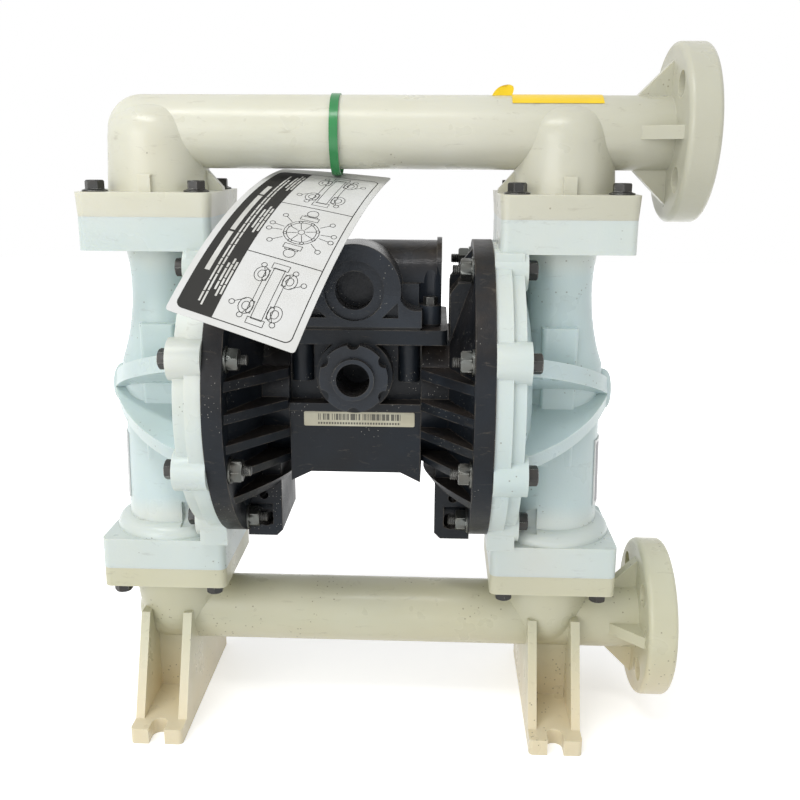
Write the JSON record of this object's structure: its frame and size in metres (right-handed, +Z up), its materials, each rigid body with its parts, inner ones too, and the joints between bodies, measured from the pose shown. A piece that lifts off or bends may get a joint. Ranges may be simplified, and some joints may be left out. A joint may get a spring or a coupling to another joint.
{
  "type": "air operated double diaphragm pump",
  "caption": "Air operated double diaphragm pump with plastic manifolds, flanged ports at one end, finned black air section and slotted feet.",
  "frame": {"origin": "on the floor under the centre of the pump, midway between the two feet and on the shaft's vertical plane", "axes": "+X along the diaphragm shaft towards the flanged ends, -Y towards the air inlet side, +Z up"},
  "size_m": [0.39, 0.2256, 0.459],
  "materials": {
    "outlet_plastic": "semi-gloss moulded",
    "cover_plastic": "semi-gloss moulded",
    "inlet_plastic": "semi-gloss moulded",
    "black_plastic": "satin moulded",
    "valve_plastic": "satin moulded",
    "bushing_plastic": "satin moulded",
    "dark_screw": "dark coated",
    "steel": "machined",
    "nut_steel": "plated",
    "seal_rubber": "matt",
    "diaphragm_rubber": "matt",
    "seat_plastic": "matt",
    "ball_plastic": "smooth",
    "bearing_plastic": "matt",
    "aluminium": "machined",
    "label_cream": "printed film",
    "badge_dark": "printed film",
    "strap_green": "satin film",
    "sticker_yellow": "satin film",
    "tag_card": "uncoated card"
  },
  "bodies": {
    "pump": {"outlet_manifold": "outlet_plastic", "inlet_manifold": "inlet_plastic", "fluid_cover_left": "cover_plastic", "fluid_cover_right": "cover_plastic", "air_cover_left": "black_plastic", "air_cover_right": "black_plastic", "center_body": "black_plastic", "air_inlet_bushing": "bushing_plastic", "air_valve_housing": "valve_plastic", "air_valve_gasket": "seal_rubber", "air_valve_screws": "dark_screw", "valve_end_cap_left": "valve_plastic", "valve_end_cap_right": "valve_plastic", "valve_retaining_rings": "steel", "shaft_bearing_left": "bearing_plastic", "shaft_bearing_right": "bearing_plastic", "shaft_seals": "seal_rubber", "pilot_bushings": "bearing_plastic", "diaphragm_left": "diaphragm_rubber", "diaphragm_right": "diaphragm_rubber", "outlet_seat_left": "seat_plastic", "outlet_seat_right": "seat_plastic", "inlet_seat_left": "seat_plastic", "inlet_seat_right": "seat_plastic", "port_seals": "seal_rubber", "outlet_manifold_screws": "dark_screw", "inlet_manifold_screws": "dark_screw", "cover_bolts_left": "dark_screw", "cover_bolts_right": "dark_screw", "cover_nuts_left": "nut_steel", "cover_nuts_right": "nut_steel", "center_label": "label_cream", "badge_left": "badge_dark", "badge_right": "badge_dark", "strap": "strap_green", "pipe_sticker": "sticker_yellow", "paper_tag": "tag_card"},
    "diaphragm_rod": {"diaphragm_shaft": "steel", "air_side_plate_left": "aluminium", "air_side_plate_right": "aluminium", "fluid_side_plate_left": "seat_plastic", "fluid_side_plate_right": "seat_plastic", "shaft_bolts": "steel"},
    "outlet_ball_left": {"outlet_ball_left": "ball_plastic"},
    "outlet_ball_right": {"outlet_ball_right": "ball_plastic"},
    "inlet_ball_left": {"inlet_ball_left": "ball_plastic"},
    "inlet_ball_right": {"inlet_ball_right": "ball_plastic"},
    "valve_spool": {"valve_spool": "aluminium", "valve_spool_seals": "seal_rubber"},
    "pilot_pin_left": {"pilot_pin_left": "steel"},
    "pilot_pin_right": {"pilot_pin_right": "steel"}
  },
  "joints": [
    {"name": "rod_slide", "type": "slide", "parent": "pump", "child": "diaphragm_rod", "axis": [1, 0, 0], "range_m": [-0.009, 0.009], "deforming": ["diaphragm_left", "diaphragm_right"]},
    {"name": "pilot_slide_left", "type": "slide", "parent": "pump", "child": "pilot_pin_left", "axis": [1, 0, 0], "range_m": [-0.0018, 0.0018]},
    {"name": "pilot_slide_right", "type": "slide", "parent": "pump", "child": "pilot_pin_right", "axis": [1, 0, 0], "range_m": [-0.0018, 0.0018]},
    {"name": "spool_slide", "type": "slide", "parent": "pump", "child": "valve_spool", "axis": [1, 0, 0], "range_m": [-0.005, 0.005]},
    {"name": "outlet_ball_lift_left", "type": "slide", "parent": "pump", "child": "outlet_ball_left", "axis": [0, 0, 1], "range_m": [0, 0.008]},
    {"name": "outlet_ball_lift_right", "type": "slide", "parent": "pump", "child": "outlet_ball_right", "axis": [0, 0, 1], "range_m": [0, 0.008]},
    {"name": "inlet_ball_lift_left", "type": "slide", "parent": "pump", "child": "inlet_ball_left", "axis": [0, 0, 1], "range_m": [0, 0.008]},
    {"name": "inlet_ball_lift_right", "type": "slide", "parent": "pump", "child": "inlet_ball_right", "axis": [0, 0, 1], "range_m": [0, 0.008]}
  ],
  "couplings": [
    {"joint": "pilot_slide_left", "follows": "rod_slide", "ratio": 0.2},
    {"joint": "pilot_slide_right", "follows": "rod_slide", "ratio": 0.2}
  ]
}
